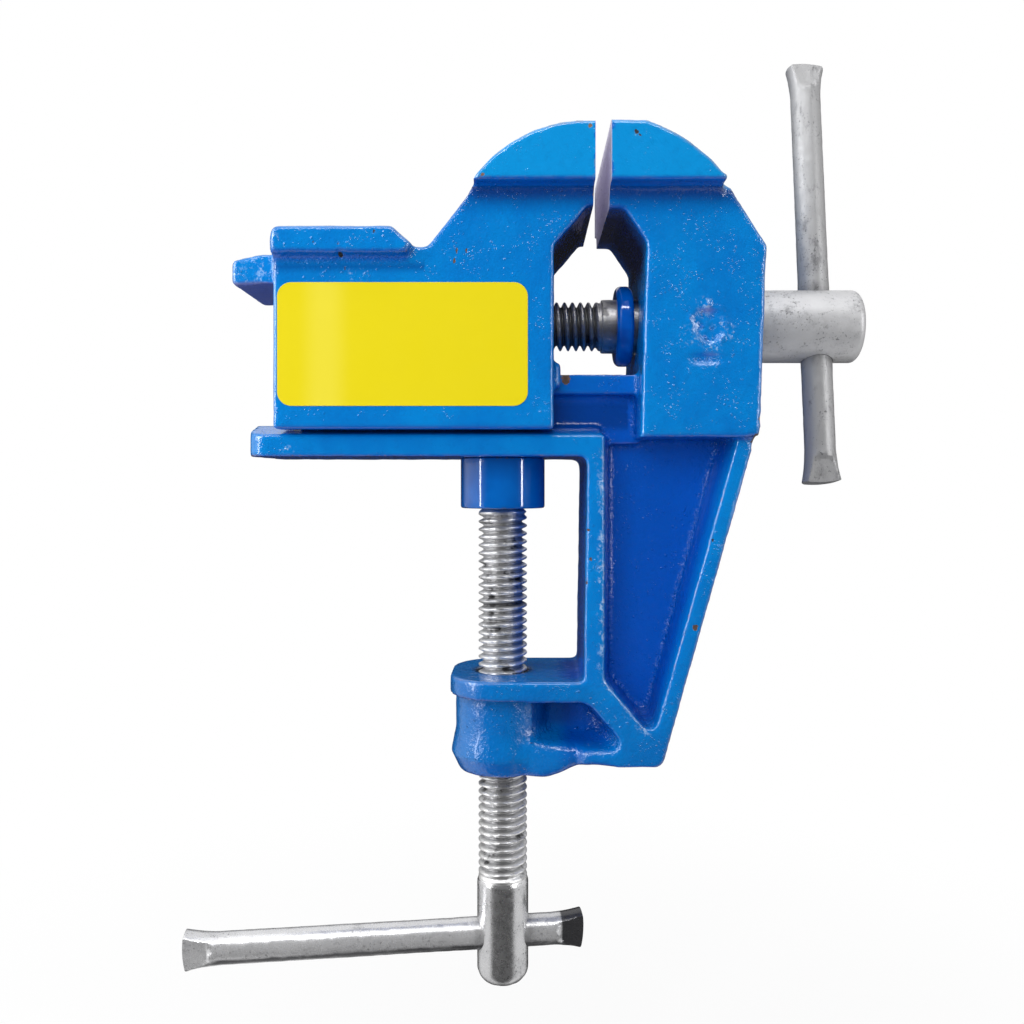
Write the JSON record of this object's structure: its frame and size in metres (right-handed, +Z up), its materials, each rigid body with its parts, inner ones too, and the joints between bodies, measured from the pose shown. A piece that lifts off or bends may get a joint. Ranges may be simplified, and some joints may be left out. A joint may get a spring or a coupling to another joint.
{
  "type": "jewelers bench vise",
  "caption": "Small clamp-on bench vise with relieved jaws, flat anvil and horn, a main screw with tommy bar, and an I-section clamp with screw, swivel pad and tommy bar.",
  "frame": {"origin": "on the table plate's underside, where the clamp screw's axis meets it", "axes": "+Z up, +X from the anvil towards the main screw's head, +Y along the gripping faces, away from the label"},
  "size_m": [0.1513, 0.05, 0.2127],
  "materials": {
    "frame_casting": "glossy blue enamel over sand-cast iron, ground bare on the gripping face",
    "moving_casting": "glossy blue enamel over sand-cast iron, ground bare on the gripping face",
    "label": "glossy yellow sticker, left blank",
    "main_screw": "dull zinc-plated steel with a dark thread",
    "collar": "glossy dark blue enamel on steel",
    "pin": "plain steel",
    "tommy_bars": "zinc-plated steel with scuffs",
    "clamp_screw": "bright zinc-plated steel",
    "pad": "glossy blue enamel on turned steel"
  },
  "bodies": {
    "frame": {"frame": "frame_casting"},
    "moving_jaw": {"moving_jaw": "moving_casting", "label": "label"},
    "main_screw": {"main_screw": "main_screw", "retaining_collar": "collar", "collar_pin": "pin"},
    "main_handle": {"main_handle": "tommy_bars"},
    "clamp_pad": {"clamp_pad": "pad"},
    "clamp_screw": {"clamp_screw": "clamp_screw"},
    "clamp_handle": {"clamp_handle": "tommy_bars"}
  },
  "joints": [
    {"name": "main_screw_turn", "type": "hinge", "parent": "frame", "child": "main_screw", "pos_m": [0.0716, 0, 0.0301], "axis": [1, 0, 0], "range_deg": [-655, 7541]},
    {"name": "jaw_slide", "type": "slide", "parent": "frame", "child": "moving_jaw", "axis": [1, 0, 0], "range_m": [-0.038, 0.0033]},
    {"name": "main_bar_slide", "type": "slide", "parent": "main_screw", "child": "main_handle", "axis": [0, 0.1392, 0.9903], "range_m": [-0.046, 0.0191]},
    {"name": "clamp_pad_slide", "type": "slide", "parent": "frame", "child": "clamp_pad", "axis": [0, 0, 1], "range_m": [-0.0365, 0]},
    {"name": "clamp_screw_turn", "type": "hinge", "parent": "clamp_pad", "child": "clamp_screw", "pos_m": [0, 0, -0.0114], "axis": [0, 0, 1], "range_deg": [-7243, 0]},
    {"name": "clamp_bar_slide", "type": "slide", "parent": "clamp_screw", "child": "clamp_handle", "axis": [0.9914, 0.1305, 0], "range_m": [-0.0037, 0.055]}
  ],
  "couplings": [
    {"joint": "main_screw_turn", "follows": "jaw_slide", "rad_per_m": -3463.2},
    {"joint": "clamp_screw_turn", "follows": "clamp_pad_slide", "rad_per_m": 3463.2}
  ]
}
